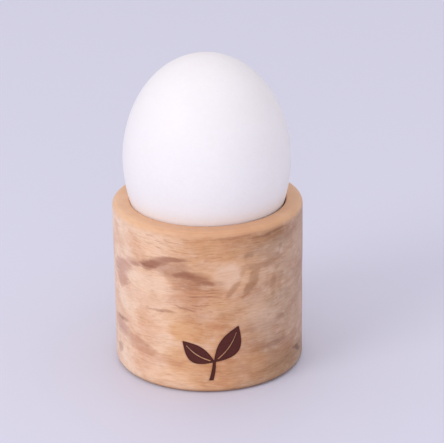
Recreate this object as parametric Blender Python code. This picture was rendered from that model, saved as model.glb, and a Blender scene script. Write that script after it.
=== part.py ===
"""Turned wooden egg cup that holds a boiled hen's egg upright, blunt end up.

Units are metres and +Z is up. The cup stands on Z = 0 with its axis on Z.
The egg stands on the cup's lip and lifts straight out.
"""

import math

import bpy

# The egg, measured from its widest ring (its girth).
EGG_DIAMETER = 0.0438
BLUNT_LENGTH = 0.0279  # girth to the blunt end, which is up
POINT_LENGTH = 0.0301  # girth to the pointed end, which is down
HELD_TURN = math.radians(-22.1)  # where on the egg's lower half the lip holds it

# The cup.
CUP_HEIGHT = 0.0450
RIM_WIDTH = 0.00445  # bowl's mouth to the outer wall
RIM_ROUND = 0.0015
LIP_ROUND = 0.0006
FOOT_ROUND = 0.0016
SEAT_GAP = 0.0003
ROOM_UNDER_EGG = 0.0070
BOWL_POWER = 2.5  # 2 is an ellipse, more is a squarer bowl

# The mark burned into the cup's wall: a sprig of two leaves on a stem.
MARK_DEPTH = 0.0002
CUTTER_HEIGHT = 0.0010  # how far the mark's cutters stand out of the wall
MARK_AZIMUTH = math.radians(2.8)  # round the cup from -Y towards +X
MARK_FOOT_HEIGHT = 0.0037
STEM_LENGTH = 0.0058
STEM_WIDTH = 0.0012
STEM_SWAY = 0.0009  # how far the stem's foot curves aside
STEM_TAPER = 0.35  # share of the stem's width lost at its top
LEFT_LEAF_LENGTH = 0.0099
RIGHT_LEAF_LENGTH = 0.0115
LEAF_WIDTH_SHARE = 0.5  # a leaf's width over its length
LEAF_BLUNTNESS = 0.06  # share of the width left at the leaf's two ends
LEAF_SWAY = 0.09  # how far the leaf's middle line bends, over its length
LEAF_OVERLAP = 0.0005  # how far the leaves start below the stem's top
LEFT_LEAF_LEAN = math.radians(56)  # from upright
RIGHT_LEAF_LEAN = math.radians(34)

# The egg's layers, from the outside in. The films are drawn thicker than life.
SHELL_THICKNESS = 0.00036
FILM_GAP = 0.00006
OUTER_FILM_THICKNESS = 0.00008
INNER_FILM_THICKNESS = 0.00006
PRICK_RADIUS = 0.0004  # the hole pricked through the shell at its lower end
AIR_CELL_RADIUS = 0.0095
AIR_CELL_DIP = 0.0012

# The yolk and the two cords that hold it.
YOLK_DIAMETER = 0.0318
YOLK_HEIGHT = 0.0300
YOLK_BELOW_GIRTH = 0.0008
INNER_GAP = 0.0003
CORD_RADIUS = 0.0005
CORD_TWIST_RADIUS = 0.0004
CORD_PITCH = 0.0034  # height of one turn
WHITE_OVER_CORD = 0.0020

EGG_SIDES = 36
CUP_SIDES = 60

EGG_RADIUS = EGG_DIAMETER / 2


def egg_offset(turn, inset):
    """Radius, and height over the girth, on the egg moved in by inset. turn is 0 at the girth and
    90 degrees at the blunt end."""
    length = BLUNT_LENGTH if turn > 0 else POINT_LENGTH
    across, along = math.cos(turn), math.sin(turn)
    slope = math.hypot(length * across, EGG_RADIUS * along)
    radius = EGG_RADIUS * across - inset * length * across / slope
    return radius, length * along - inset * EGG_RADIUS * along / slope


# The lip's round touches the egg, less the gap, at HELD_TURN, which sets the mouth and the egg's height.
LIP_CENTRE_RADIUS, LIP_CENTRE_DROP = egg_offset(HELD_TURN, -SEAT_GAP - LIP_ROUND)
LIP_CENTRE_HEIGHT = CUP_HEIGHT - LIP_ROUND
GIRTH_HEIGHT = LIP_CENTRE_HEIGHT - LIP_CENTRE_DROP
MOUTH_RADIUS = LIP_CENTRE_RADIUS - LIP_ROUND
CUP_RADIUS = MOUTH_RADIUS + RIM_WIDTH
BOWL_BOTTOM = GIRTH_HEIGHT - POINT_LENGTH - ROOM_UNDER_EGG
YOLK_CENTRE = GIRTH_HEIGHT - YOLK_BELOW_GIRTH

OUTER_FILM = SHELL_THICKNESS + FILM_GAP
INNER_FILM = OUTER_FILM + OUTER_FILM_THICKNESS + FILM_GAP
WHITE_SURFACE = INNER_FILM + INNER_FILM_THICKNESS + FILM_GAP
CHANNEL_RADIUS = CORD_TWIST_RADIUS + CORD_RADIUS + INNER_GAP


def egg_point(turn, inset):
    """Radius and height on the egg moved in by inset."""
    radius, height = egg_offset(turn, inset)
    return radius, GIRTH_HEIGHT + height


def clear_scene():
    for obj in list(bpy.data.objects):
        bpy.data.objects.remove(obj, do_unlink=True)


def material(name, colour, roughness, metallic=0.0):
    made = bpy.data.materials.new(name)
    made.use_nodes = True
    shader = made.node_tree.nodes["Principled BSDF"]
    shader.inputs["Base Color"].default_value = (*colour, 1)
    shader.inputs["Roughness"].default_value = roughness
    shader.inputs["Metallic"].default_value = metallic
    return made


def add_object(name, vertices, faces, look, origin_height=0.0):
    """A mesh object whose origin is on the axis at origin_height, and whose vertices are in world places."""
    mesh = bpy.data.meshes.new(name)
    mesh.from_pydata([(x, y, z - origin_height) for x, y, z in vertices], [], faces)
    mesh.materials.append(look)
    mesh.shade_smooth()
    mesh.set_sharp_from_angle(angle=math.radians(40))
    obj = bpy.data.objects.new(name, mesh)
    obj.location.z = origin_height
    bpy.context.scene.collection.objects.link(obj)
    return obj


def turned(name, profile, sides, look, origin_height=0.0):
    """A solid of revolution. The profile runs from its upper end on the axis, down its outer side,
    to its other end on the axis."""
    top, *rings, bottom = profile
    vertices = [(0, 0, top[1])]
    for radius, height in rings:
        for side in range(sides):
            angle = 2 * math.pi * side / sides
            vertices.append((radius * math.cos(angle), radius * math.sin(angle), height))
    vertices.append((0, 0, bottom[1]))
    last = len(vertices) - 1
    faces = []
    for side in range(sides):
        beside = (side + 1) % sides
        faces.append((0, 1 + side, 1 + beside))
        for ring in range(len(rings) - 1):
            upper, lower = 1 + ring * sides, 1 + (ring + 1) * sides
            faces.append((upper + side, lower + side, lower + beside, upper + beside))
        lowest = 1 + (len(rings) - 1) * sides
        faces.append((lowest + side, last, lowest + beside))
    return add_object(name, vertices, faces, look, origin_height)


def arc(centre, radius, start, end, steps):
    """Points of a round stretch of a profile. Angles are in degrees from the outward direction."""
    points = []
    for step in range(steps + 1):
        angle = math.radians(start + (end - start) * step / steps)
        points.append((centre[0] + radius * math.cos(angle), centre[1] + radius * math.sin(angle)))
    return points


# ---- The cup ----


def bowl_points(steps=11):
    """The bowl's wall from just under the lip to just off the axis, as a superellipse."""
    depth = LIP_CENTRE_HEIGHT - BOWL_BOTTOM
    points = []
    for step in range(1, steps):
        turn = 0.5 * math.pi * step / steps
        radius = MOUTH_RADIUS * math.cos(turn) ** (2 / BOWL_POWER)
        points.append((radius, LIP_CENTRE_HEIGHT - depth * math.sin(turn) ** (2 / BOWL_POWER)))
    return points


def cup_profile():
    foot = arc((CUP_RADIUS - FOOT_ROUND, FOOT_ROUND), FOOT_ROUND, 0, -90, 4)
    rim = arc((CUP_RADIUS - RIM_ROUND, CUP_HEIGHT - RIM_ROUND), RIM_ROUND, 90, 0, 4)
    lip = arc((LIP_CENTRE_RADIUS, LIP_CENTRE_HEIGHT), LIP_ROUND, 180, 90, 3)
    bowl = [(0, BOWL_BOTTOM)] + bowl_points()[::-1]
    return bowl + lip + rim + foot + [(0, 0)]


def wrapped(along, height, radius):
    """A place on the cup's wall: along is the distance round it from the mark's middle."""
    angle = MARK_AZIMUTH + along / CUP_RADIUS
    return radius * math.sin(angle), -radius * math.cos(angle), height


def mark_cutter(name, outline_row, rows, columns, look):
    """A curved slab that follows the wall. outline_row gives each row's two ends, as (along, height)."""
    grid = []
    for row in range(rows + 1):
        left, right = outline_row(row / rows)
        for column in range(columns + 1):
            share = column / columns
            grid.append((left[0] + (right[0] - left[0]) * share, left[1] + (right[1] - left[1]) * share))
    vertices = [wrapped(*place, CUP_RADIUS - MARK_DEPTH) for place in grid]
    vertices += [wrapped(*place, CUP_RADIUS + CUTTER_HEIGHT) for place in grid]
    across, count = columns + 1, len(grid)
    faces = []
    for row in range(rows):
        for column in range(columns):
            corner = row * across + column
            quad = (corner, corner + 1, corner + 1 + across, corner + across)
            faces.append(quad[::-1])
            faces.append(tuple(count + index for index in quad))
    rim = list(range(across))
    rim += [row * across + columns for row in range(1, rows + 1)]
    rim += [rows * across + column for column in range(columns - 1, -1, -1)]
    rim += [row * across for row in range(rows - 1, 0, -1)]
    for start, end in zip(rim, rim[1:] + rim[:1]):
        faces.append((start, end, count + end, count + start))
    cutter = add_object(name, vertices, faces, look)
    cutter.hide_render = True
    cutter.display_type = "WIRE"
    return cutter


def leaf_rows(length, lean):
    """Row function of a pointed leaf that grows from the stem's top, leaning towards +along."""
    width = length * LEAF_WIDTH_SHARE
    base = MARK_FOOT_HEIGHT + STEM_LENGTH - LEAF_OVERLAP

    def row(share):
        arch = math.sin(math.pi * share)
        half = 0.5 * width * (LEAF_BLUNTNESS + (1 - LEAF_BLUNTNESS) * arch)
        sway = math.copysign(LEAF_SWAY * length, lean) * arch
        ends = []
        for side in (-half, half):
            across, up = side + sway, length * share
            along = across * math.cos(lean) + up * math.sin(lean)
            height = up * math.cos(lean) - across * math.sin(lean)
            ends.append((along, base + height))
        return ends

    return row


def stem_row(share):
    half = 0.5 * STEM_WIDTH * (1 - STEM_TAPER * share)
    middle = -STEM_SWAY * (1 - share) ** 2
    height = MARK_FOOT_HEIGHT + STEM_LENGTH * share
    return [(middle - half, height), (middle + half, height)]


def build_cup():
    wood = material("turned_wood", (0.66, 0.41, 0.24), 0.55)
    char = material("burned_wood", (0.075, 0.03, 0.022), 0.7)
    cup = turned("egg_cup", cup_profile(), CUP_SIDES, wood)
    cup.data.materials.append(char)
    cutters = [
        mark_cutter("mark_stem", stem_row, 5, 1, char),
        mark_cutter("mark_left_leaf", leaf_rows(LEFT_LEAF_LENGTH, -LEFT_LEAF_LEAN), 10, 3, char),
        mark_cutter("mark_right_leaf", leaf_rows(RIGHT_LEAF_LENGTH, RIGHT_LEAF_LEAN), 10, 3, char),
    ]
    for cutter in cutters:
        cut = cup.modifiers.new(cutter.name, "BOOLEAN")
        cut.operation = "DIFFERENCE"
        cut.object = cutter
    return cup


# ---- The egg's layers ----


def air_cell_turn(inset):
    """The turn at which the egg, moved in by inset, is as wide as the air cell."""
    low, high = 0.0, 0.5 * math.pi
    for _ in range(50):
        middle = 0.5 * (low + high)
        if egg_point(middle, inset)[0] > AIR_CELL_RADIUS:
            low = middle
        else:
            high = middle
    return low


EDGE_TURN = air_cell_turn(INNER_FILM)


def turns_between(start, end, steps):
    """Evenly spaced turns, with start and without end."""
    return [start + (end - start) * step / steps for step in range(steps)]


# Every layer has its rings at the same turns, so that their flat facets nest.
UPPER_TURNS = turns_between(0.5 * math.pi, EDGE_TURN, 4)[1:]
LOWER_TURNS = turns_between(EDGE_TURN, -0.5 * math.pi, 12)


def lower_surface(inset, hole):
    """Profile from the air cell's edge down to the edge of a hole, which lies on the last facets."""
    points = [egg_point(turn, inset) for turn in LOWER_TURNS]
    (radius, height), end_height = points[-1], egg_point(-0.5 * math.pi, inset)[1]
    return points + [(hole, end_height + (height - end_height) * hole / radius)]


def rounded_surface(inset, hole):
    """Profile of a layer that follows the shell all over, from the top to the hole's edge."""
    cap = [(0, egg_point(0.5 * math.pi, inset)[1])]
    cap += [egg_point(turn, inset) for turn in UPPER_TURNS]
    return cap + lower_surface(inset, hole)


def dipped_surface(inset, hole):
    """Profile of a layer that leaves the shell at the air cell, where it sinks a little in the middle."""
    edge_radius, edge_height = egg_point(EDGE_TURN, inset)
    cap = [(0, edge_height - AIR_CELL_DIP)]
    for turn in UPPER_TURNS:
        share = math.cos(turn) / math.cos(EDGE_TURN)
        cap.append((edge_radius * share, edge_height - AIR_CELL_DIP * (1 - share * share)))
    return cap + lower_surface(inset, hole)


def build_shell():
    look = material("eggshell", (0.90, 0.87, 0.86), 0.5)
    outer = rounded_surface(0, PRICK_RADIUS)
    inner = rounded_surface(SHELL_THICKNESS, PRICK_RADIUS)
    return turned("eggshell", outer + inner[::-1], EGG_SIDES, look, GIRTH_HEIGHT)


def build_outer_film():
    look = material("shell_membrane", (0.88, 0.86, 0.80), 0.6)
    outer = rounded_surface(OUTER_FILM, PRICK_RADIUS)
    inner = rounded_surface(OUTER_FILM + OUTER_FILM_THICKNESS, PRICK_RADIUS)
    return turned("outer_shell_membrane", outer + inner[::-1], EGG_SIDES, look, GIRTH_HEIGHT)


def build_inner_film():
    look = material("inner_membrane", (0.90, 0.88, 0.83), 0.45)
    outer = dipped_surface(INNER_FILM, PRICK_RADIUS)
    inner = dipped_surface(INNER_FILM + INNER_FILM_THICKNESS, PRICK_RADIUS)
    return turned("inner_shell_membrane", outer + inner[::-1], EGG_SIDES, look, GIRTH_HEIGHT)


def cord_span(upward):
    """The heights between which a cord lies: from the yolk to WHITE_OVER_CORD inside the white."""
    yolk_end = 0.5 * YOLK_HEIGHT + INNER_GAP + CORD_RADIUS
    if upward:
        top = egg_point(EDGE_TURN, WHITE_SURFACE)[1] - AIR_CELL_DIP
        return YOLK_CENTRE + yolk_end, top - WHITE_OVER_CORD - CORD_RADIUS
    bottom = egg_point(-0.5 * math.pi, WHITE_SURFACE)[1]
    return bottom + WHITE_OVER_CORD + CORD_RADIUS, YOLK_CENTRE - yolk_end


def yolk_point(turn, gap):
    radius = (0.5 * YOLK_DIAMETER + gap) * math.cos(turn)
    return radius, YOLK_CENTRE + (0.5 * YOLK_HEIGHT + gap) * math.sin(turn)


def build_white():
    """The white has the yolk's hollow, a blind channel above it and an open channel below it."""
    look = material("egg_white", (0.93, 0.92, 0.89), 0.35)
    outside = dipped_surface(WHITE_SURFACE, CHANNEL_RADIUS)
    opening = math.acos(CHANNEL_RADIUS / (0.5 * YOLK_DIAMETER + INNER_GAP))
    steps = 14
    hollow = [yolk_point(opening * (2 * step / steps - 1), INNER_GAP) for step in range(steps + 1)]
    channel_top = cord_span(True)[1] + CORD_RADIUS + INNER_GAP
    inside = hollow + [(CHANNEL_RADIUS, channel_top), (0, channel_top)]
    return turned("egg_white", outside + inside, EGG_SIDES, look, GIRTH_HEIGHT)


def build_yolk():
    look = material("yolk", (0.90, 0.55, 0.10), 0.6)
    steps = 14
    profile = [yolk_point(math.pi * (0.5 - step / steps), 0) for step in range(steps + 1)]
    return turned("yolk", profile, EGG_SIDES, look, YOLK_CENTRE)


def build_cord(name, upward):
    """A chalaza: a round strand along a helix, left-handed below the yolk and right-handed above."""
    look = material(name, (0.94, 0.92, 0.86), 0.4)
    low, high = cord_span(upward)
    steps = max(8, round(10 * (high - low) / CORD_PITCH))
    curve = bpy.data.curves.new(name, "CURVE")
    curve.dimensions = "3D"
    curve.bevel_depth = CORD_RADIUS
    curve.bevel_resolution = 2
    curve.use_fill_caps = True
    curve.materials.append(look)
    strand = curve.splines.new("POLY")
    strand.points.add(steps)
    middle = 0.5 * (low + high)
    hand = 1 if upward else -1
    for step, point in enumerate(strand.points):
        height = low + (high - low) * step / steps
        turn = hand * 2 * math.pi * (height - low) / CORD_PITCH
        x, y = CORD_TWIST_RADIUS * math.cos(turn), CORD_TWIST_RADIUS * math.sin(turn)
        point.co = (x, y, height - middle, 1)
    cord = bpy.data.objects.new(name, curve)
    cord.location.z = middle
    bpy.context.scene.collection.objects.link(cord)
    return cord


def main():
    clear_scene()
    build_cup()
    layers = [
        build_shell(),
        build_outer_film(),
        build_inner_film(),
        build_white(),
        build_cord("upper_chalaza", True),
        build_cord("lower_chalaza", False),
        build_yolk(),
    ]
    lift = bpy.data.objects.new("egg_lift", None)
    lift.location.z = GIRTH_HEIGHT
    bpy.context.scene.collection.objects.link(lift)
    bpy.context.view_layer.update()
    for layer in layers:
        layer.parent = lift
        layer.matrix_parent_inverse = lift.matrix_world.inverted()


main()
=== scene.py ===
import math

import bpy
import numpy as np
from mathutils import Euler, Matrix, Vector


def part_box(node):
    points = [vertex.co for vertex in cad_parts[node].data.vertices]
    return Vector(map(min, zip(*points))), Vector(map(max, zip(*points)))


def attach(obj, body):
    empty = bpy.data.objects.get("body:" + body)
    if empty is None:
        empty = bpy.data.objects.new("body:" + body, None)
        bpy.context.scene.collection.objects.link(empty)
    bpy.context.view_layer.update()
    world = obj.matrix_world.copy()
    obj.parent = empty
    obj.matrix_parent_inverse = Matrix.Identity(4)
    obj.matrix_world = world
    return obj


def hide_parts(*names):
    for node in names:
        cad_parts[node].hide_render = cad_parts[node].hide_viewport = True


# A turned wooden egg cup with a boiled hen's egg standing in it. Metres, Z up, the cup's axis on Z,
# the burned leaf mark towards -Y.

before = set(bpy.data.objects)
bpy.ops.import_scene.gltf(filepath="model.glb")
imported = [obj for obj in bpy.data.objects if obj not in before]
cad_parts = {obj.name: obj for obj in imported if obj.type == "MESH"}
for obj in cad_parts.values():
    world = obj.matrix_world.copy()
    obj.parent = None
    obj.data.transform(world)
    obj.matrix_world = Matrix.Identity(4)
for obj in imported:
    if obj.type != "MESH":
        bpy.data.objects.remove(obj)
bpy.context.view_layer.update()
mm = 0.001
scene = bpy.context.scene


# The camera comes first, because the lights are set by its picture.

cameraSet = {
    "eye": (0.0, -0.4894, 0.2350),
    "lookDown": 21.93,  # degrees under the horizon
    "lookRight": 0.44,
    "lean": 0.65,
    "lens": 162.2,  # mm, on a frame 36 mm wide
}


def placeCamera(settings):
    data = bpy.data.cameras.new("studioCamera")
    data.lens = settings["lens"]
    data.sensor_width = 36.0
    data.clip_start, data.clip_end = 0.02, 20.0
    camera = bpy.data.objects.new("studioCamera", data)
    down, right, lean = (math.radians(settings[name]) for name in ("lookDown", "lookRight", "lean"))
    aim = Euler((math.pi / 2 - down, 0, -right)).to_matrix()
    camera.rotation_euler = (aim @ Euler((0, 0, -lean)).to_matrix()).to_euler()
    camera.location = settings["eye"]
    scene.collection.objects.link(camera)
    scene.camera = camera


placeCamera(cameraSet)
print("camera placed")


# Meshes from grids of points


def addMesh(name, points, quads, triangles):
    # quads and triangles hold indices into points, each wound so that its face points outwards
    mesh = bpy.data.meshes.new(name)
    corners = np.concatenate([quads.ravel(), triangles.ravel()]).astype(np.int32)
    sizes = np.concatenate([np.full(len(quads), 4), np.full(len(triangles), 3)]).astype(np.int32)
    starts = (np.cumsum(sizes) - sizes).astype(np.int32)
    mesh.vertices.add(len(points))
    mesh.vertices.foreach_set("co", points.astype(np.float32).ravel())
    mesh.loops.add(len(corners))
    mesh.loops.foreach_set("vertex_index", corners)
    mesh.polygons.add(len(sizes))
    mesh.polygons.foreach_set("loop_start", starts)
    mesh.polygons.foreach_set("loop_total", sizes)
    mesh.update(calc_edges=True)
    mesh.validate()
    mesh.shade_smooth()
    piece = bpy.data.objects.new(name, mesh)
    scene.collection.objects.link(piece)
    return piece


def closedPiece(name, grid):
    # grid is rings x sides x 3. Each ring closes on itself, and the first and last rings shrink to
    # a point.
    rings, sides = grid.shape[:2]
    index = np.arange((rings - 2) * sides).reshape(rings - 2, sides) + 1
    beside = np.roll(index, -1, axis=1)
    last = index[-1, -1] + 1
    quads = np.stack([index[:-1], index[1:], beside[1:], beside[:-1]], -1).reshape(-1, 4)
    upper = np.stack([0 * index[0], index[0], beside[0]], -1)
    lower = np.stack([index[-1], 0 * index[-1] + last, beside[-1]], -1)
    points = np.concatenate([[grid[0].mean(0)], grid[1:-1].reshape(-1, 3), [grid[-1].mean(0)]])
    return addMesh(name, points, quads, np.concatenate([upper, lower]))


def pointValues(grid):
    # the values of a rings x sides array in the order of closedPiece's points
    return np.concatenate([[grid[0].mean()], grid[1:-1].ravel(), [grid[-1].mean()]])


def addValues(piece, name, values):
    layer = piece.data.attributes.new(name, "FLOAT", "POINT")
    layer.data.foreach_set("value", values.astype(np.float32))


def evenAngles(sides):
    return np.linspace(0, 2 * math.pi, sides + 1)[:-1]


def turnedGrid(profile, angles):
    # x = radius sin(angle), y = -radius cos(angle): angle is 0 at the mark and grows towards +X
    radius, height = profile[:, 0, None], profile[:, 1, None]
    return np.stack([radius * np.sin(angles), -radius * np.cos(angles), height + 0 * angles], -1)


def roundStretch(centre, radius, start, end, steps):
    # an arc: centre + radius (cos, sin), in degrees, 0 outwards and 90 up
    turn = np.radians(np.linspace(start, end, steps + 1))
    return np.stack([centre[0] + radius * np.cos(turn), centre[1] + radius * np.sin(turn)], -1)


def straightStretch(start, end, steps):
    # evenly spaced points between start and end, with both left out
    share = np.linspace(0, 1, steps + 1)[1:-1, None]
    return (1 - share) * np.array(start) + share * np.array(end)


def smoothStep(value, low, high):
    # 0 under low, 1 over high, and 3t^2 - 2t^3 between
    share = np.clip((value - low) / (high - low), 0, 1)
    return share * share * (3 - 2 * share)


def swell(points, reach, seed, octaves):
    # a smooth value of about -1 to 1: sines along turned directions, each octave half the size of
    # the last
    source = np.random.default_rng(seed)
    total, weight = np.zeros(points.shape[:-1]), 0.0
    for octave in range(octaves):
        share = 0.5 ** octave
        for _ in range(6):
            direction = source.normal(size=3)
            direction /= np.linalg.norm(direction)
            phase = source.uniform(0, 2 * math.pi)
            total += share * np.sin(points @ direction * (2 * math.pi / (reach * share)) + phase)
        weight += share * 6 ** 0.5
    return total / weight


# Shader sums written as Python sums


class Value:
    # one output socket of a recipe; arithmetic on it adds Math nodes
    def __init__(self, recipe, socket):
        self.recipe = recipe
        self.socket = socket

    def maths(self, operation, first, second=0.0):
        return self.recipe.add("ShaderNodeMath", {"operation": operation}, {0: first, 1: second})

    def __add__(self, other):
        return self.maths("ADD", self, other)

    __radd__ = __add__

    def __sub__(self, other):
        return self.maths("SUBTRACT", self, other)

    def __rsub__(self, other):
        return self.maths("SUBTRACT", other, self)

    def __mul__(self, other):
        return self.maths("MULTIPLY", self, other)

    __rmul__ = __mul__

    def __truediv__(self, other):
        return self.maths("DIVIDE", self, other)

    def __rtruediv__(self, other):
        return self.maths("DIVIDE", other, self)

    def __abs__(self):
        return self.maths("ABSOLUTE", self)

    def larger(self, other):
        return self.maths("MAXIMUM", self, other)

    def root(self):
        return self.maths("SQRT", self)

    def wrap(self, low, high):
        return self.recipe.add("ShaderNodeMath", {"operation": "WRAP"}, {0: self, 1: high, 2: low})

    def ramp(self, low, high):
        # 0 at low, 1 at high, smooth between; low may be the larger one
        return self.recipe.add(
            "ShaderNodeMapRange",
            {"interpolation_type": "SMOOTHSTEP"},
            {"Value": self, "From Min": low, "From Max": high},
        )


class Recipe:
    # a material with one Principled shader
    def __init__(self, name, **constants):
        self.material = bpy.data.materials.new(name)
        self.material.use_nodes = True
        self.tree = self.material.node_tree
        self.shader = self.tree.nodes["Principled BSDF"]
        for socket, value in constants.items():
            self.shader.inputs[socket.replace("_", " ")].default_value = value

    def add(self, kind, settings, sockets, output=0):
        # a node of any type: settings first, then its sockets' values or links
        node = self.tree.nodes.new(kind)
        for key, value in settings.items():
            if key == "stops":
                self.setStops(node.color_ramp, value)
            else:
                setattr(node, key, value)
        for key, value in sockets.items():
            self.feed(node.inputs[key], value)
        return Value(self, node.outputs[output])

    def feed(self, target, value):
        if isinstance(value, Value):
            self.tree.links.new(value.socket, target)
        else:
            target.default_value = value

    def setStops(self, ramp, stops):
        while len(ramp.elements) < len(stops):
            ramp.elements.new(0.5)
        for element, (place, colour) in zip(ramp.elements, stops):
            element.position = place
            element.color = (*colour, 1.0)

    def place(self):
        # the point on the piece, in millimetres
        where = self.add("ShaderNodeTexCoord", {}, {}, "Object")
        return self.add("ShaderNodeMapping", {}, {"Vector": where, "Scale": (1000, 1000, 1000)})

    def parts(self, vector):
        node = self.tree.nodes.new("ShaderNodeSeparateXYZ")
        self.feed(node.inputs[0], vector)
        return [Value(self, socket) for socket in node.outputs]

    def vector(self, x, y, z):
        return self.add("ShaderNodeCombineXYZ", {}, {0: x, 1: y, 2: z})

    def noise(self, vector, scale, detail, roughness):
        sockets = {"Vector": vector, "Scale": scale, "Detail": detail, "Roughness": roughness}
        return self.add("ShaderNodeTexNoise", {}, sockets, "Fac")

    def cells(self, vector, scale):
        # distance to the nearest of many scattered points
        sockets = {"Vector": vector, "Scale": scale}
        return self.add("ShaderNodeTexVoronoi", {"feature": "F1"}, sockets, "Distance")

    def colours(self, factor, stops):
        return self.add("ShaderNodeValToRGB", {"stops": stops}, {"Fac": factor})

    def blend(self, factor, first, second, how="MIX"):
        first, second = (
            (*colour, 1.0) if isinstance(colour, tuple) else colour for colour in (first, second)
        )
        return self.add(
            "ShaderNodeMix",
            {"data_type": "RGBA", "blend_type": how},
            {0: factor, 6: first, 7: second},
            2,
        )

    def bump(self, height, distance, strength):
        # height is 0 to 1 and distance is its size in metres
        sockets = {"Height": height, "Distance": distance, "Strength": strength}
        self.feed(self.shader.inputs["Normal"], self.add("ShaderNodeBump", {}, sockets))

    def colour(self, value):
        self.feed(self.shader.inputs["Base Color"], value)

    def rough(self, value):
        self.feed(self.shader.inputs["Roughness"], value)


def finishPiece(piece, recipe, node, body):
    piece.data.materials.append(recipe.material)
    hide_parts(node)
    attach(piece, body)


# The egg cup

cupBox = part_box("egg_cup")
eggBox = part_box("eggshell")

cupSet = {
    "lipRound": 0.6 * mm,
    "mouthRadius": 20.42 * mm,
    "offCentre": 0.14 * mm,  # the bowl was turned this far to +X of the wall
    "rimRound": 1.5 * mm,
    "footRound": 1.6 * mm,
    "roomUnderEgg": 7.0 * mm,
    "bowlPower": 2.5,
    "wobble": 0.05 * mm,  # how far the hand-turned wall strays from a true cylinder
    "wobbleReach": 30 * mm,
    "fineStep": 0.13 * mm,  # grid spacing across the mark
    "wallStep": 0.6 * mm,
    "bowlRings": 46,
    "coarseSides": 162,
}

markSet = {
    "depth": 0.2 * mm,
    "edge": 0.10 * mm,
    "azimuth": math.radians(2.8),
    "foot": 3.7 * mm,
    "stemLength": 5.8 * mm,
    "stemWidth": 1.2 * mm,
    "stemSway": 0.9 * mm,
    "leafOverlap": 0.5 * mm,
    "stemTaper": 0.35,  # share of the stem's width lost at its top
    "leafShare": 0.5,  # a leaf's width over its length
    "leafBluntness": 0.06,  # share of the leaf's width left at its ends
    "leafSway": 0.09,  # bend of the leaf's middle line, over its length
    "leaves": ((9.9 * mm, -math.radians(56)), (11.5 * mm, math.radians(34))),  # length and lean
    "midrib": 0.16 * mm,  # half the width of the leaf's unburned rib at its foot
    "midribTaper": 0.6,
    "midribEnds": (0.10, 0.86),  # shares of the leaf's length
    "margin": 0.6 * mm,  # finely gridded wall left under the mark
    "gridHeight": 15.6 * mm,  # finely gridded wall over the mark's foot
    "gridReach": 8.8 * mm,  # and to each side of its middle
}


def leafDistance(along, height, length, lean, settings):
    # Signed distance to a leaf's outline, inside positive: half the leaf's width at that share of
    # its length, 0.5 width (blunt + (1 - blunt) sin(pi share)), less the distance from its middle.
    height = height - settings["foot"] - settings["stemLength"] + settings["leafOverlap"]
    across = along * math.cos(lean) - height * math.sin(lean)
    share = (along * math.sin(lean) + height * math.cos(lean)) / length
    arch = np.sin(math.pi * np.clip(share, 0, 1))
    middle = math.copysign(settings["leafSway"] * length, lean) * arch
    blunt = settings["leafBluntness"]
    half = 0.5 * length * settings["leafShare"] * (blunt + (1 - blunt) * arch)
    slant = 0.5 * settings["leafShare"] * math.pi * np.cos(math.pi * np.clip(share, 0, 1))
    inside = (half - np.abs(across - middle)) / np.sqrt(1 + slant * slant)
    outside = np.maximum(-share, share - 1) * length
    rib = np.abs(across - middle) - settings["midrib"] * (1 - settings["midribTaper"] * share)
    ribStart, ribEnd = settings["midribEnds"]
    rib = np.where((share > ribStart) & (share < ribEnd), rib, 1.0)
    return np.minimum(np.minimum(inside, -outside), rib)


def stemDistance(along, height, settings):
    # half the stem's tapering width less the distance from its curved middle line
    share = (height - settings["foot"]) / settings["stemLength"]
    middle = -settings["stemSway"] * (1 - share) ** 2
    half = 0.5 * settings["stemWidth"] * (1 - settings["stemTaper"] * share)
    ends = np.maximum(-share, share - 1) * settings["stemLength"]
    return np.minimum(half - np.abs(along - middle), -ends)


def markDistance(along, height, settings):
    # the nearest of the stem and the two leaves, in metres, inside positive
    shapes = [stemDistance(along, height, settings)]
    shapes += [leafDistance(along, height, *leaf, settings) for leaf in settings["leaves"]]
    return np.max(shapes, axis=0)


def cupProfile(settings, markTop):
    # Radius and height from the bowl's bottom up its superellipse wall, over the lip and rim, down
    # the outer wall and round the foot to the middle of the base.
    wall, top = cupBox[1].x, cupBox[1].z
    lip, rim, foot = settings["lipRound"], settings["rimRound"], settings["footRound"]
    mouth, power = settings["mouthRadius"], settings["bowlPower"]
    bottom = eggBox[0].z - settings["roomUnderEgg"]
    rings = np.linspace(1, 0, settings["bowlRings"])[1:-1]
    turn = 0.5 * math.pi * rings ** 1.15  # closer together at the mouth
    deep = top - lip - bottom
    bowlRadius = mouth * np.cos(turn) ** (2 / power)
    bowlHeight = top - lip - deep * np.sin(turn) ** (2 / power)
    markFoot = markSet["foot"] - markSet["margin"]
    fineRows = round((markTop - markFoot) / settings["fineStep"])
    wallRows = round((top - rim - markTop) / settings["wallStep"])
    return np.concatenate([
        [[0, bottom]],
        np.stack([bowlRadius, bowlHeight], -1),
        roundStretch((mouth + lip, top - lip), lip, 180, 90, 7),
        straightStretch((mouth + lip, top), (wall - rim, top), 5),
        roundStretch((wall - rim, top - rim), rim, 90, 0, 9),
        straightStretch((wall, top - rim), (wall, markTop), wallRows),
        straightStretch((wall, markTop), (wall, markFoot), fineRows),
        roundStretch((wall - foot, foot), foot, 0, -90, 7),
        straightStretch((wall - foot, 0), (0, 0), 5),
        [[0, 0]],
    ])


def cupAngles(settings, reach):
    # close together as far as reach to each side of the mark, and about 2 degrees apart elsewhere
    wall = cupBox[1].x
    fine = np.arange(-reach, reach, settings["fineStep"]) / wall + markSet["azimuth"]
    coarse = np.linspace(fine[-1], fine[0] + 2 * math.pi, settings["coarseSides"])[1:-1]
    return np.concatenate([fine, coarse])


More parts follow.
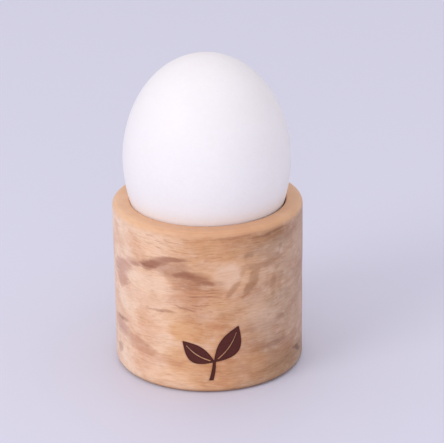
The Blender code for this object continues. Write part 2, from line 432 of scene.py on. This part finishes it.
def makeCup(settings):
    profile = cupProfile(settings, markSet["foot"] + markSet["gridHeight"])
    angles = cupAngles(settings, markSet["gridReach"])
    grid = turnedGrid(profile, angles)
    wall = cupBox[1].x
    radius = np.broadcast_to(profile[:, 0, None], grid.shape[:2])
    height = grid[..., 2]
    # the bowl moves aside as one, and the rim's width takes up the difference
    moved = smoothStep(wall - radius, 1.6 * mm, 3.8 * mm) * smoothStep(height, 2 * mm, 5 * mm)
    grid[..., 0] += settings["offCentre"] * moved
    turn = np.remainder(angles - markSet["azimuth"] + math.pi, 2 * math.pi) - math.pi
    distance = markDistance(turn * wall + 0 * height, height, markSet)
    onWall = smoothStep(radius, wall - 0.3 * mm, wall - 0.1 * mm)
    burned = smoothStep(distance, -0.5 * markSet["edge"], 0.5 * markSet["edge"]) * onWall
    strayed = settings["wobble"] * swell(grid, settings["wobbleReach"], 5, 2)
    strayed = strayed * smoothStep(height, 1 * mm, 4 * mm)
    sunk = (strayed - markSet["depth"] * burned) * smoothStep(radius, 12 * mm, 18 * mm)
    outwards = np.stack([np.sin(angles) + 0 * radius, -np.cos(angles) + 0 * radius, 0 * radius], -1)
    grid = grid + outwards * sunk[..., None]
    piece = closedPiece("turnedCup", grid)
    addValues(piece, "burn", pointValues(np.where(onWall > 0.5, distance / mm, -2.0).clip(-2, 2)))
    return piece


# The wood's figure, with some painted light and shade among it. A patch is: place round the wall in
# degrees, height, half length and half width in mm, tilt in degrees, bend in 1/mm and strength.
woodSet = {
    # the ground, from one end of the block to the other
    # the pale end is partly painted light: it also stands for the brighter glow on the wall's left
    # edge
    "pale": (0.913, 0.68, 0.518),
    "peach": (0.852, 0.557, 0.369),
    "golden": (0.695, 0.389, 0.213),
    "greyTan": (0.512, 0.328, 0.224),
    "ground": (
        (0.02, "pale"), (0.16, "peach"), (0.28, "peach"),
        (0.46, "golden"), (0.62, "golden"), (0.86, "greyTan"),
    ),
    # lights are mixed in, and shades multiply what lies under them
    "bandLight": (0.84, 0.62, 0.46),
    "cloudShade": (0.85, 0.71, 0.64),
    "blotchShade": (0.86, 0.81, 0.68),
    "blotchLight": (0.88, 0.68, 0.56),
    "lineShade": (0.82, 0.70, 0.60),
    "fibreShade": (0.76, 0.64, 0.54),
    "fibreLight": (0.90, 0.70, 0.56),
    "paleLight": (0.88, 0.65, 0.50),
    "orangeShade": (0.88, 0.75, 0.58),
    # greyShade tints the grey figure and also the painted shadow at the foot
    "greyShade": (0.78, 0.78, 0.74),
    "pinkShade": (0.72, 0.58, 0.57),
    "arcShade": (0.68, 0.60, 0.53),
    "streakShade": (0.47, 0.33, 0.30),
    "poreShade": (0.62, 0.46, 0.38),
    "footPaintedShade": (0.60, 0.50, 0.42),
    # painted shade: the wood inside the bowl is darker and warmer, for the shade between the egg
    # and the lip
    "bowlPaintedShade": (0.88, 0.66, 0.50),
    "rimRings": ((0.61, 0.315, 0.17), (0.77, 0.445, 0.26)),
    # painted light: the rim's left and right sides are made lighter and warmer
    "rimSidesPaintedLight": (0.93, 0.57, 0.30),
    "char": ((0.060, 0.010, 0.008), (0.105, 0.022, 0.016)),
    # painted shade: the wall darkens towards the floor, in place of the foot's contact shadow
    "charEdge": (0.036, 0.008, 0.006),
    "scorchShade": (0.62, 0.46, 0.38),
    "streaks": (
        (-35, 34.8, 4.2, 1.35, 12, 0.0, 1.00),
        (-46, 33.7, 3.4, 0.75, 8, 0.0, 0.45),
        (-29, 35.9, 3.4, 1.30, 14, 0.0, 0.85),
        (-22, 37.0, 4.2, 0.70, 3, 0.0, 0.85),
        (-23, 34.3, 5.8, 2.4, -6, 0.0, 0.60),
        (-14, 33.0, 3.8, 1.15, -3, 0.0, 1.00),
        (-7, 32.5, 3.8, 1.20, -8, 0.0, 0.85),
        (-3, 31.4, 3.0, 1.40, -10, 0.0, 0.80),
        (-9, 31.6, 6.5, 2.6, -8, 0.0, 0.50),
        (67, 5.8, 3.0, 0.65, -20, 0.0, 0.85),
        (43, 11.2, 4.2, 0.80, 6, 0.0, 0.30),
        (-66, 15.3, 3.8, 0.45, 3, 0.0, 0.60),
        (-70, 6.2, 1.6, 1.3, 0, 0.0, 0.55),
        (-30, 22.3, 4.0, 0.32, 2, 0.0, 0.50),
        (-14, 24.0, 3.2, 0.28, -2, 0.0, 0.45),
        (-4, 27.2, 4.0, 0.26, -3, 0.0, 0.40),
        (-18, 29.3, 3.0, 0.26, -4, 0.0, 0.40),
        (38, 42.5, 6.0, 0.45, 2, 0.0, 0.55),
        (18, 43.4, 6.0, 0.40, 2, 0.0, 0.45),
        (112, 27.6, 8.0, 1.2, -7, 0.0, 0.90),
        (98, 29.6, 5.0, 0.6, -3, 0.0, 0.65),
        (126, 25.4, 6.5, 2.2, -6, 0.0, 0.50),
        (148, 14.2, 8.0, 0.9, 7, 0.0, 0.75),
        (160, 16.0, 7.0, 2.0, 5, 0.0, 0.40),
        (176, 33.8, 7.0, 0.9, -8, 0.0, 0.85),
        (-170, 32.2, 8.0, 2.3, -6, 0.0, 0.50),
        (-158, 30.8, 6.0, 0.7, -5, 0.0, 0.65),
        (-112, 21.5, 8.5, 1.0, 8, 0.0, 0.80),
        (-104, 23.5, 6.5, 2.2, 6, 0.0, 0.45),
        (-140, 37.2, 7.0, 0.7, -5, 0.0, 0.70),
        (-133, 8.8, 6.5, 0.8, 5, 0.0, 0.60),
    ),
    "arcs": (
        (15.0, 29.3, 2.6, 0.75, 50, 0.0, 0.85),
        (19.5, 32.8, 2.6, 0.65, 66, 0.0, 0.50),
        (24.0, 28.6, 2.4, 1.00, 52, 0.0, 0.95),
        (27.8, 31.6, 3.4, 1.10, 68, 0.0, 0.85),
        (23.5, 37.9, 1.8, 0.75, 0, 0.0, 0.85),
        (21, 34.4, 1.8, 0.80, 20, 0.0, 0.55),
        (34, 34.2, 4.2, 1.00, 2, 0.03, 0.75),
        (42, 35.2, 4.0, 0.80, 2, 0.0, 0.50),
        (46.5, 36.6, 1.8, 0.70, 68, 0.0, 0.60),
        (42, 28.8, 3.8, 0.80, 78, -0.03, 0.45),
        (47, 27.0, 3.6, 0.70, 82, -0.03, 0.35),
        (36, 30.5, 4.6, 0.90, 80, -0.03, 0.25),
        (13, 22.5, 3.6, 0.70, 10, 0.03, 0.35),
        (44, 17.5, 4.4, 0.90, 12, 0.03, 0.40),
    ),
    "poreClouds": (
        (-27, 41.6, 6.5, 2.8, 0, 0.0, 1.0),
        (-10, 26.0, 8.0, 6.0, 0, 0.0, 1.0),
        (5, 37.5, 5.0, 2.0, 0, 0.0, 0.8),
        (-32, 22.5, 5.0, 2.0, 0, 0.0, 0.8),
        (24, 20.0, 4.0, 4.0, 0, 0.0, 0.5),
        (140, 30.0, 12.0, 7.0, 0, 0.0, 1.0),
        (-150, 12.0, 10.0, 6.0, 0, 0.0, 1.0),
    ),
    "pinkClouds": (
        (-50, 33.8, 4.0, 1.6, 10, 0.0, 0.50),
        (-64, 30.6, 5.8, 2.2, 20, 0.0, 0.95),
        (-65, 27.4, 3.4, 2.6, 0, 0.0, 0.90),
        (-52, 33.6, 3.6, 1.2, 14, 0.0, 0.65),
        (-67, 12.8, 4.6, 2.4, -6, 0.0, 0.85),
        (-46, 10.8, 6.0, 1.8, -12, 0.0, 0.60),
        (-26, 8.2, 5.0, 1.6, -8, 0.0, 0.35),
        (-13, 26.5, 5.5, 3.2, 0, 0.0, 0.28),
        (-9, 21.5, 4.5, 2.0, 0, 0.0, 0.25),
        (128, 22.0, 7.0, 3.0, -10, 0.0, 0.80),
        (-155, 20.0, 7.0, 3.6, 8, 0.0, 0.70),
        (163, 38.0, 6.0, 2.4, 0, 0.0, 0.60),
    ),
    "greyCloudsAndFootShadow": (
        (58, 18.0, 5.0, 5.0, 0, 0.0, 0.30),
        (40, 39.5, 9.0, 3.2, 0, 0.0, 0.50),
        (50, 11.5, 7.0, 3.0, 0, 0.0, 0.20),
        # the next three, low at the foot, are painted shade: the contact shadow along the floor,
        # deepest on the right
        (66, 2.5, 14.0, 5.0, 0, 0.0, 1.20),
        (32, 0.5, 10.0, 2.2, 0, 0.0, 0.80),
        (-28, 0.5, 12.0, 2.0, 0, 0.0, 0.50),
        (48, 24.5, 5.0, 2.6, 10, 0.0, 0.50),
        (22, 39.5, 4.0, 3.0, 0, 0.0, 0.30),
        (-140, 28.0, 8.0, 6.0, 0, 0.0, 0.55),
    ),
    "paleClouds": (
        (11, 33.0, 3.4, 3.2, 0, 0.0, 0.60),
        (33, 20.0, 3.4, 5.0, 30, 0.0, 0.30),
        (-36, 29.5, 6.0, 2.2, -8, 0.0, 0.60),
        (-34, 24.5, 7.0, 3.0, 0, 0.0, 0.35),
    ),
    "orangeClouds": (
        (2, 7.5, 12.0, 6.0, 0, 0.0, 0.60),
        (-13, 17.5, 4.6, 3.6, 0, 0.0, 1.40),
        (-1, 18.5, 6.0, 2.2, 0, 0.0, 0.50),
        (-17, 9.0, 4.5, 4.5, 0, 0.0, 0.80),
        (-16, 22.0, 5.0, 2.4, -6, 0.0, 0.45),
        (30, 7.0, 4.0, 5.5, 0, 0.0, 0.85),
        (34, 43.0, 8.5, 3.0, 0, 0.0, 1.00),
        (48, 5.0, 8.0, 4.0, 0, 0.0, 0.80),
        (4, 40.5, 9.0, 3.0, 0, 0.0, 0.40),
        (14, 18.0, 5.0, 5.0, 0, 0.0, 0.35),
        (170, 22.0, 10.0, 6.0, 0, 0.0, 0.60),
        (-100, 36.0, 9.0, 4.0, 0, 0.0, 0.50),
    ),
}


def patchMask(arc, height, ragged, patch, soft):
    # 1 in the middle of a long, bent ellipse and 0 outside it
    azimuth, level, halfLength, halfWidth, tilt, bend, strength = patch
    tilt = math.radians(tilt)
    halfway = math.pi * cupBox[1].x / mm
    aside, over = arc - azimuth / 180 * halfway, height - level
    if abs(azimuth) > 90:
        aside = aside.wrap(-halfway, halfway)  # a patch may run on past the back of the cup
    along = aside * math.cos(tilt) + over * math.sin(tilt)
    across = over * math.cos(tilt) - aside * math.sin(tilt)
    if bend:
        across = across - along * along * bend
    along, across = along / halfLength, across / halfWidth
    return (along * along + across * across + ragged).ramp(1.0 + soft, 1.0 - soft) * strength


def patchGroup(arc, height, ragged, patches, soft):
    masks = [patchMask(arc, height, ragged, patch, soft) for patch in patches]
    total = masks[0]
    for mask in masks[1:]:
        total = total.larger(mask)
    return total


def turnedWood(settings):
    recipe = Recipe("turnedWood", IOR=1.45, Specular_IOR_Level=0.3, Coat_Roughness=0.45)
    place = recipe.place()
    x, y, z = recipe.parts(place)
    fromAxis = (x * x + y * y).root()
    azimuth = recipe.add("ShaderNodeMath", {"operation": "ARCTAN2"}, {0: x, 1: y * -1})
    onWall = fromAxis.ramp(21.5, 23.0)

    # bands, lines and fibres run along X and bend with a slow warp
    slow = recipe.noise(place, 0.050, 1.0, 0.5)
    ripple = recipe.noise(place, 0.16, 2.0, 0.5)
    layer = z + (slow - 0.5) * 3.2 + (ripple - 0.5) * 0.8
    band = recipe.noise(recipe.vector(x * 0.030, y * 0.045, layer * 0.16), 1.0, 3.0, 0.55)
    line = recipe.noise(recipe.vector(x * 0.13, y * 0.17, layer * 0.95), 1.0, 4.0, 0.62)
    fibre = recipe.noise(recipe.vector(x * 0.36, y * 0.46, layer * 3.2), 1.0, 3.0, 0.65)
    dash = recipe.noise(recipe.vector(x * 0.30, y * 0.38, layer * 2.4), 1.0, 2.0, 0.5)
    cloud = recipe.noise(recipe.vector(x * 0.085, y * 0.10, layer * 0.15), 1.0, 4.0, 0.6)
    blotch = recipe.noise(recipe.vector(x * 0.22, y * 0.26, z * 0.36), 1.0, 4.0, 0.6)
    cluster = recipe.noise(place, 0.10, 1.0, 0.5)

    # pale peach wood at one end of the block, golden in its middle and greyer at the other end; the
    # pale -X end also paints the glow of the wall's left edge
    blockLength = 50.0
    across = x / blockLength + 0.5
    across = across + (slow - 0.5) * 0.30 + (cloud - 0.5) * 0.30 + (line - 0.5) * 0.16
    ground = recipe.colours(across, [(share, settings[name]) for share, name in settings["ground"]])

    # where the darker wood lies, with edges drawn out along the fibres
    arc = azimuth * (cupBox[1].x / mm) + (ripple - 0.5) * 2.0
    height = z + (ripple - 0.5) * 2.4
    ragged = (line - 0.5) * 3.0 + (fibre - 0.5) * 1.6 + (blotch - 0.5) * 3.0
    ragged = ragged * (y.ramp(-8.0, 4.0) * 0.8 + 0.6)
    halfRagged = ragged * 0.5
    arcRagged = (blotch - 0.5) * 5.0 + (fibre - 0.5) * 2.4
    grainy = 0.50 + fibre * 0.60 + blotch * 0.40
    pink = patchGroup(arc, height, ragged * 0.7, settings["pinkClouds"], 0.75) * onWall
    greyAndFootShadow = patchGroup(arc, height, halfRagged, settings["greyCloudsAndFootShadow"], 0.85) * onWall
    pale = patchGroup(arc, height, halfRagged, settings["paleClouds"], 0.80) * onWall
    orange = patchGroup(arc, height, halfRagged, settings["orangeClouds"], 0.85) * onWall
    bowed = patchGroup(arc, height, arcRagged, settings["arcs"], 1.05) * onWall
    dark = patchGroup(arc, height, ragged, settings["streaks"], 1.00) * onWall
    porous = patchGroup(arc, height, halfRagged, settings["poreClouds"], 0.80) * onWall
    pores = dash.ramp(0.58, 0.68) * porous.larger(cluster.ramp(0.50, 0.66) * 0.6)
    # painted shade: darker towards the floor, in place of the contact shadow at the foot
    foot = z.ramp(1.5, 0.2)
    # painted shade inside the bowl, where the egg shades the gap under the lip
    bowlShadeMask = fromAxis.ramp(21.0, 20.6) * z.ramp(5.0, 9.0)

    # the figure is laid on from the broadest to the finest, then the painted shade at the foot and
    # inside the bowl
    for amount, name in (
        (band.ramp(0.40, 0.64) * 0.25, "bandLight"),
        (cloud.ramp(0.46, 0.64) * 0.55, "cloudShade"),
        (blotch.ramp(0.50, 0.30) * 0.46, "blotchShade"),
        (blotch.ramp(0.52, 0.68) * 0.20, "blotchLight"),
        (line.ramp(0.52, 0.34) * 0.36, "lineShade"),
        (fibre.ramp(0.54, 0.38) * 0.34, "fibreShade"),
        (fibre.ramp(0.56, 0.70) * 0.10, "fibreLight"),
        (pale * 0.6, "paleLight"),
        (orange, "orangeShade"),
        (greyAndFootShadow * 0.9, "greyShade"),
        (pink * grainy, "pinkShade"),
        (bowed * grainy * 0.85, "arcShade"),
        (dark * grainy, "streakShade"),
        (pores * 0.48, "poreShade"),
        (foot * 0.8, "footPaintedShade"),
        (bowlShadeMask, "bowlPaintedShade"),
    ):
        how = "MULTIPLY" if name.endswith("Shade") else "MIX"
        ground = recipe.blend(amount, ground, settings[name], how)

    # the sanded rim shows smoother, warmer wood with faint turning lines; its left and right sides
    # are painted lighter and warmer, a painted light against the egg's shade on the rim
    rim = z.ramp(42.6, 44.4) * fromAxis.ramp(19.5, 20.6)
    ringPlace = recipe.vector(fromAxis * 2.4, z * 2.4, x * 0.04 + y * 0.05)
    ringLine = recipe.noise(ringPlace, 1.0, 3.0, 0.6)
    ringDark, ringLight = settings["rimRings"]
    rimColour = recipe.colours(ringLine * 0.5 + band * 0.5, [(0.3, ringDark), (0.7, ringLight)])
    rimColour = recipe.blend(abs(x).ramp(8.0, 24.0) * 0.45, rimColour, settings["rimSidesPaintedLight"])
    ground = recipe.blend(rim * 0.72, ground, rimColour)

    # the burned mark: dark brown, darkest at its edge, with a scorched line outside it
    burn = recipe.add("ShaderNodeAttribute", {"attribute_name": "burn"}, {}, "Fac")
    crumb = recipe.noise(place, 3.2, 3.0, 0.6)
    inside = (burn + (crumb - 0.5) * 0.10).ramp(-0.07, 0.07)
    scorch = burn.ramp(-0.60, 0.0) * 0.40
    charDark, charLight = settings["char"]
    charred = recipe.colours(crumb * 0.6 + fibre * 0.4, [(0.30, charDark), (0.70, charLight)])
    charred = recipe.blend(burn.ramp(0.38, 0.05) * 0.6, charred, settings["charEdge"])
    ground = recipe.blend(scorch, ground, settings["scorchShade"], "MULTIPLY")
    recipe.colour(recipe.blend(inside, ground, charred))

    recipe.feed(recipe.shader.inputs["Coat Weight"], 0.22 - inside * 0.20)
    recipe.rough(0.50 + (fibre - 0.5) * 0.16 + pores * 0.15 + inside * 0.18 - rim * 0.08)
    turning = recipe.noise(recipe.vector(x * 0.03, y * 0.03, z * 3.1), 1.0, 2.0, 0.5)
    relief = fibre * 0.42 + line * 0.20 + turning * 0.18 - pores * 0.9 + crumb * inside * 1.2
    recipe.bump(relief, 0.06 * mm, 0.8)
    return recipe


cup = makeCup(cupSet)
finishPiece(cup, turnedWood(woodSet), "egg_cup", "cup")
print("cup turned:", len(cup.data.polygons), "faces")


# The egg, from the shell inwards. Insets are distances under the shell's outer surface.

eggSet = {
    "bluntLength": 27.9 * mm,  # widest ring to the blunt end, which is up
    "shell": 0.36 * mm,
    "outerFilm": (0.42 * mm, 0.50 * mm),
    "innerFilm": (0.56 * mm, 0.62 * mm),
    "white": 0.68 * mm,
    "prick": 0.4 * mm,  # radius of the hole at the pointed end
    "airCellRadius": 9.5 * mm,
    "airCellDip": 1.2 * mm,
    "roundedRings": 110,
    "dishRings": 20,
    "dippedRings": 96,
    "unevenness": 0.07 * mm,
    "swellReach": 34 * mm,
    "evenUpTo": 9 * mm,  # over the cup's rim, where the unevenness has come in fully
    "sides": 160,
}

girthRadius = eggBox[1].x
girthHeight = eggBox[1].z - eggSet["bluntLength"]
pointLength = girthHeight - eggBox[0].z


def eggProfile(turn, inset):
    # Two half ellipses that share the widest ring: (radius cos turn, length sin turn), moved in
    # along the normal, which is (length cos turn, radius sin turn) over its own size.
    length = np.where(turn > 0, eggSet["bluntLength"], pointLength)
    across, over = np.cos(turn), np.sin(turn)
    size = np.hypot(length * across, girthRadius * over)
    radius = girthRadius * across - inset * length * across / size
    height = length * over - inset * girthRadius * over / size
    return np.stack([radius, girthHeight + height], -1)


def cellEdge(inset):
    # the turn at which the layer at this inset is as wide as the air cell
    turns = np.linspace(0, 0.5 * math.pi, 4001)
    radius = eggProfile(turns, inset)[:, 0]
    return turns[np.argmin(np.abs(radius - eggSet["airCellRadius"]))]


edgeTurn = cellEdge(eggSet["innerFilm"][0])


def holeTurn(hole):
    return -math.acos(hole / girthRadius)


def roundedLayer(inset, hole):
    # from the blunt end down to the edge of the hole at the pointed end
    turns = np.linspace(0.5 * math.pi, holeTurn(hole), eggSet["roundedRings"])
    profile = eggProfile(turns, inset)
    profile[0, 0], profile[-1, 0] = 0, hole
    return profile


def dippedLayer(inset, hole):
    # under the air cell the layer is a shallow dish, edge height - dip (1 - share^2)
    edge = eggProfile(np.array([edgeTurn]), inset)[0]
    share = np.linspace(0, 1, eggSet["dishRings"])[:-1]
    dish = np.stack([edge[0] * share, edge[1] - eggSet["airCellDip"] * (1 - share ** 2)], -1)
    profile = eggProfile(np.linspace(edgeTurn, holeTurn(hole), eggSet["dippedRings"]), inset)
    profile[-1, 0] = hole
    return np.concatenate([dish, profile])


def uneven(grid):
    # every layer is pushed in or out by the same slow swell, so that their gaps stay as they are
    centre = np.array([0, 0, girthHeight])
    outwards = grid - centre
    outwards /= np.linalg.norm(outwards, axis=-1, keepdims=True)
    push = swell(outwards * 20 * mm, eggSet["swellReach"], 11, 2) * eggSet["unevenness"]
    held = smoothStep(grid[..., 2], cupBox[1].z, cupBox[1].z + eggSet["evenUpTo"])
    return grid + outwards * (push * held)[..., None]


def layerPiece(name, outer, inner):
    profile = np.concatenate([outer, inner[::-1]])
    return closedPiece(name, uneven(turnedGrid(profile, evenAngles(eggSet["sides"]))))


def eggshellLook():
    recipe = Recipe("mattEggshell", Subsurface_Weight=0.12, Subsurface_Scale=0.0015, IOR=1.45)
    recipe.shader.inputs["Subsurface Radius"].default_value = (1.0, 0.75, 0.6)
    place = recipe.place()
    cloud = recipe.noise(place, 0.06, 3.0, 0.55)
    mottle = recipe.noise(place, 0.9, 4.0, 0.6)
    grain = recipe.noise(place, 3.0, 3.0, 0.6)
    pits = recipe.cells(place, 1.35).ramp(0.26, 0.05) * mottle.ramp(0.40, 0.62)
    tone = recipe.colours(cloud * 0.55 + mottle * 0.45, [
        (0.36, (0.890, 0.848, 0.852)), (0.64, (0.918, 0.886, 0.890)),
    ])
    recipe.colour(recipe.blend(pits * 0.30, tone, (0.72, 0.66, 0.64)))
    recipe.rough(0.46 + mottle * 0.12 + pits * 0.1)
    recipe.bump(grain * 0.35 + mottle * 0.45 - pits * 0.55, 0.05 * mm, 0.55)
    return recipe


def filmLook(name, tone, deeper, roughness):
    # a matted sheet of fibres: two noises stretched in crossing directions
    recipe = Recipe(name, Subsurface_Weight=0.2, Subsurface_Scale=0.001, IOR=1.38)
    place = recipe.place()
    x, y, z = recipe.parts(place)
    one = recipe.noise(recipe.vector(x * 4 + z, y * 4 - z, z * 0.8), 1.0, 3.0, 0.6)
    two = recipe.noise(recipe.vector(x * 0.9 - z * 3, y * 0.9 + z * 3, z * 2.5 + x), 1.0, 3.0, 0.6)
    fibres = one.larger(two)
    recipe.colour(recipe.colours(fibres, [(0.42, deeper), (0.66, tone)]))
    recipe.rough(roughness + (fibres - 0.5) * 0.2)
    recipe.bump(fibres, 0.02 * mm, 0.7)
    return recipe


prick = eggSet["prick"]
shell = layerPiece("wholeShell", *(roundedLayer(inset, prick) for inset in (0.0, eggSet["shell"])))
finishPiece(shell, eggshellLook(), "eggshell", "egg")

outerFilm = layerPiece("shellFilm", *(roundedLayer(inset, prick) for inset in eggSet["outerFilm"]))
finishPiece(
    outerFilm, filmLook("outerFilmWhite", (0.90, 0.88, 0.83), (0.78, 0.75, 0.68), 0.6),
    "outer_shell_membrane", "egg",
)

innerFilm = layerPiece("airCellFilm", *(dippedLayer(inset, prick) for inset in eggSet["innerFilm"]))
finishPiece(
    innerFilm, filmLook("innerFilmWhite", (0.92, 0.90, 0.86), (0.82, 0.80, 0.74), 0.42),
    "inner_shell_membrane", "egg",
)
print("shell and films made")


# The white, the yolk and the two cords between them

insideSet = {
    "sides": 120,
    "gap": 0.3 * mm,
    "yolkDimples": 0.10 * mm,
    "dimpleReach": 7 * mm,
    "channel": 1.2 * mm,
    "cordRadius": 0.58 * mm,
    "cordLobe": 0.24,  # how far the two strands stand out of the cord
    "cordSway": 0.16 * mm,
    "swayRates": (0.37, 0.53),  # sways for each turn of the twist, along X and Y
    "cordSides": 32,
    "cordPitch": 2.6 * mm,
}

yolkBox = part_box("yolk")
yolkRadius, yolkHalf = yolkBox[1].x, 0.5 * (yolkBox[1].z - yolkBox[0].z)
yolkCentre = 0.5 * (yolkBox[1].z + yolkBox[0].z)


def yolkProfile(turn, gap):
    # an upright ellipse, gap larger all round
    radius = (yolkRadius + gap) * np.cos(turn)
    return np.stack([radius, yolkCentre + (yolkHalf + gap) * np.sin(turn)], -1)


def makeWhite():
    # outside, then up the lower channel, round the yolk's hollow and up the closed upper channel
    channel = insideSet["channel"]
    outside = dippedLayer(eggSet["white"], channel)
    opening = math.acos(channel / (yolkRadius + insideSet["gap"]))
    hollow = yolkProfile(np.linspace(-opening, opening, 70), insideSet["gap"])
    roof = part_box("upper_chalaza")[1].z + insideSet["gap"]
    channelFloor = straightStretch(outside[-1], hollow[0], 8)
    channelRoof = straightStretch(hollow[-1], (channel, roof), 8)
    ceiling = [[channel, roof], [0, roof]]
    profile = np.concatenate([outside, channelFloor, hollow, channelRoof, ceiling])
    return closedPiece("setWhite", uneven(turnedGrid(profile, evenAngles(insideSet["sides"]))))


def makeYolk():
    # the ellipse with shallow dimples pushed into it
    profile = yolkProfile(np.linspace(0.5, -0.5, 90) * math.pi, 0.0)
    profile[[0, -1], 0] = 0
    grid = turnedGrid(profile, evenAngles(insideSet["sides"]))
    outwards = grid - np.array([0, 0, yolkCentre])
    outwards /= np.linalg.norm(outwards, axis=-1, keepdims=True)
    dimple = insideSet["yolkDimples"] * (swell(grid, insideSet["dimpleReach"], 3, 3) - 1)
    return closedPiece("setYolk", grid + outwards * dimple[..., None])


def makeCord(name, node, hand):
    # a section of two lobes, radius (1 + lobe cos 2(angle - twist)), carried up a swaying line and
    # turned once for each pitch; both ends are rounded
    low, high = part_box(node)[0].z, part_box(node)[1].z
    share = np.linspace(1, 0, 120)[:, None]
    angles = evenAngles(insideSet["cordSides"])[None, :]
    height = low + (high - low) * share
    twist = hand * 2 * math.pi * (height - low) / insideSet["cordPitch"]
    fromEnd = np.minimum(share, 1 - share) * (high - low) / insideSet["cordRadius"]
    blunt = np.sqrt(1 - (1 - np.clip(fromEnd, 0, 1)) ** 2)
    lobed = 1 + insideSet["cordLobe"] * np.cos(2 * (angles - twist))
    radius = insideSet["cordRadius"] * blunt * lobed
    sway, (xRate, yRate) = insideSet["cordSway"], insideSet["swayRates"]
    x = radius * np.cos(angles) + sway * np.sin(twist * xRate)
    y = radius * np.sin(angles) + sway * np.cos(twist * yRate)
    return closedPiece(name, np.stack([x, y, height + 0 * angles], -1))


def whiteLook():
    recipe = Recipe("setWhiteSheen", Subsurface_Weight=0.45, Subsurface_Scale=0.004, IOR=1.36)
    place = recipe.place()
    cloud = recipe.noise(place, 0.16, 4.0, 0.55)
    fine = recipe.noise(place, 1.6, 3.0, 0.55)
    recipe.colour(recipe.colours(cloud, [(0.35, (0.86, 0.845, 0.80)), (0.65, (0.93, 0.925, 0.90))]))
    recipe.rough(0.26 + fine * 0.16)
    recipe.bump(cloud * 0.6 + fine * 0.4, 0.05 * mm, 0.4)
    return recipe


def yolkLook():
    recipe = Recipe("setYolkCrumb", Subsurface_Weight=0.25, Subsurface_Scale=0.002, IOR=1.4)
    place = recipe.place()
    crumb = recipe.cells(place, 1.1)
    cloud = recipe.noise(place, 0.12, 4.0, 0.6)
    fine = recipe.noise(place, 2.4, 4.0, 0.65)
    tone = recipe.colours(cloud * 0.6 + fine * 0.4, [
        (0.34, (0.66, 0.36, 0.035)), (0.50, (0.83, 0.47, 0.05)), (0.66, (0.88, 0.60, 0.14)),
    ])
    recipe.colour(recipe.blend(cloud.ramp(0.60, 0.74) * 0.25, tone, (0.50, 0.50, 0.26)))
    recipe.rough(0.58 + crumb * 0.3)
    recipe.bump(crumb * 0.5 + fine * 0.5, 0.12 * mm, 0.7)
    return recipe


def cordLook():
    recipe = Recipe("cordPearl", Subsurface_Weight=0.35, Subsurface_Scale=0.001, IOR=1.38)
    place = recipe.place()
    x, y, z = recipe.parts(place)
    strand = recipe.noise(recipe.vector(x * 3.0, y * 3.0, z * 1.2), 1.0, 4.0, 0.6)
    recipe.colour(recipe.colours(strand, [(0.36, (0.80, 0.75, 0.62)), (0.64, (0.93, 0.91, 0.85))]))
    recipe.rough(0.30 + strand * 0.2)
    recipe.bump(strand, 0.04 * mm, 0.6)
    return recipe


finishPiece(makeWhite(), whiteLook(), "egg_white", "egg")
finishPiece(makeYolk(), yolkLook(), "yolk", "egg")
cordPearl = cordLook()
for name, node, hand in (("upperCord", "upper_chalaza", 1), ("lowerCord", "lower_chalaza", -1)):
    finishPiece(makeCord(name, node, hand), cordPearl, node, "egg")
print("white, yolk and cords made")


# The studio

studioSet = {
    "floorHalf": 3.0,
    "floorTone": (0.71, 0.71, 0.83),
    "worldTone": (0.96, 0.94, 1.0),
    "worldStrength": 0.80,
    # place, size in metres, power in watts, tone
    "lights": (
        ("windowLight", (-0.70, -0.58, 0.56), 0.55, 3.0, (1.0, 0.985, 0.97)),
        ("frontFill", (0.05, -1.05, 0.20), 0.80, 1.7, (1.0, 0.98, 0.98)),
        ("topFill", (0.30, 0.0, 1.0), 0.60, 0.5, (1.0, 0.93, 0.92)),
    ),
    "aim": (0.0, 0.0, 0.045),
}


def addFloor(settings):
    half = settings["floorHalf"]
    points = np.array([[-half, -half, 0], [half, -half, 0], [half, half, 0], [-half, half, 0]])
    floor = addMesh("studioFloor", points, np.array([[0, 1, 2, 3]]), np.zeros((0, 3), int))
    recipe = Recipe("paleFloor", Roughness=0.55, IOR=1.4)
    recipe.shader.inputs["Base Color"].default_value = (*settings["floorTone"], 1.0)
    floor.data.materials.append(recipe.material)


def addLights(settings):
    world = bpy.data.worlds.new("softRoom")
    world.use_nodes = True
    background = world.node_tree.nodes["Background"]
    background.inputs["Color"].default_value = (*settings["worldTone"], 1.0)
    background.inputs["Strength"].default_value = settings["worldStrength"]
    scene.world = world
    for name, where, size, power, tone in settings["lights"]:
        data = bpy.data.lights.new(name, "AREA")
        data.shape, data.size = "DISK", size
        data.energy, data.color = power, tone
        light = bpy.data.objects.new(name, data)
        light.location = where
        aim = light.location.copy()
        aim.x, aim.y, aim.z = (place - goal for place, goal in zip(where, settings["aim"]))
        light.rotation_euler = aim.to_track_quat("Z", "Y").to_euler()
        scene.collection.objects.link(light)


addFloor(studioSet)
addLights(studioSet)
scene.view_settings.view_transform = "Standard"
print("studio lit")
